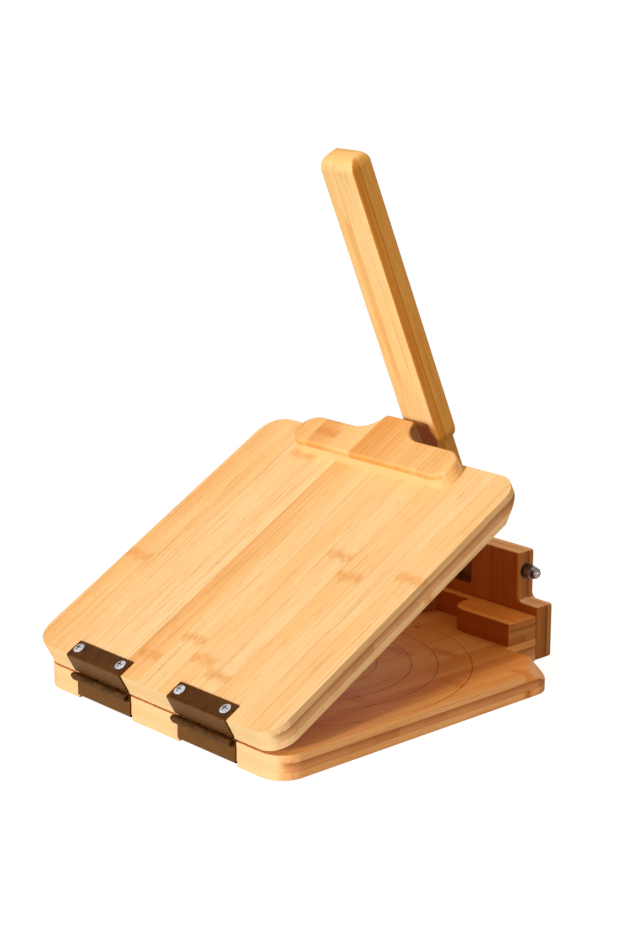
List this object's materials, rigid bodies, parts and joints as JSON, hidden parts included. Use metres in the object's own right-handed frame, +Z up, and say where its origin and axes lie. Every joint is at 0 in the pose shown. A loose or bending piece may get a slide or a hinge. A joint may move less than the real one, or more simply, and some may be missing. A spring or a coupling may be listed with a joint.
{
  "type": "tortilla press",
  "caption": "Bamboo tortilla press: ringed base board, lid on bronze butt hinges with a pressure block and tab, and a lever pivoting in a slotted upright.",
  "frame": {"origin": "centre of the base board's underside, on the surface that the press stands on", "axes": "+X to the right along the hinge edge, +Y from the hinge edge towards the lever edge, +Z up"},
  "size_m": [0.263, 0.3399, 0.39],
  "materials": {
    "bamboo_base": "satin oiled three-ply bamboo",
    "bamboo_lid": "satin oiled three-ply bamboo",
    "bamboo_block": "satin oiled bamboo",
    "bamboo_guide": "satin oiled three-ply bamboo",
    "bamboo_upright": "satin oiled three-ply bamboo",
    "bamboo_lever": "satin oiled laminated bamboo",
    "hinge_bronze": "dark antique bronze patina, rubbed bright on the edges",
    "screw_steel": "bright zinc",
    "rod_steel": "plain steel",
    "nut_chrome": "polished chrome",
    "washer_steel": "plain steel"
  },
  "bodies": {
    "base": {"base_board": "bamboo_base", "guide_block": "bamboo_guide", "upright": "bamboo_upright", "upright_screws": "screw_steel", "guide_screws": "screw_steel", "pivot_rod": "rod_steel", "cap_nut_left": "nut_chrome", "cap_nut_right": "nut_chrome", "nut_washer_left": "washer_steel", "nut_washer_right": "washer_steel", "hinge_left_base_leaf": "hinge_bronze", "hinge_right_base_leaf": "hinge_bronze", "hinge_left_pin": "hinge_bronze", "hinge_right_pin": "hinge_bronze", "hinge_left_base_screws": "screw_steel", "hinge_right_base_screws": "screw_steel"},
    "lid": {"top_board": "bamboo_lid", "pressure_block": "bamboo_block", "hinge_left_lid_leaf": "hinge_bronze", "hinge_right_lid_leaf": "hinge_bronze", "hinge_left_lid_screws": "screw_steel", "hinge_right_lid_screws": "screw_steel"},
    "lever": {"lever": "bamboo_lever"}
  },
  "joints": [
    {"name": "lid_hinge", "type": "hinge", "parent": "base", "child": "lid", "pos_m": [0, -0.1388, 0.018], "axis": [1, 0, 0], "range_deg": [-28.8, 121]},
    {"name": "lever_pivot", "type": "hinge", "parent": "base", "child": "lever", "pos_m": [0, 0.1775, 0.0655], "axis": [-1, 0, 0], "range_deg": [-4, 121]}
  ]
}
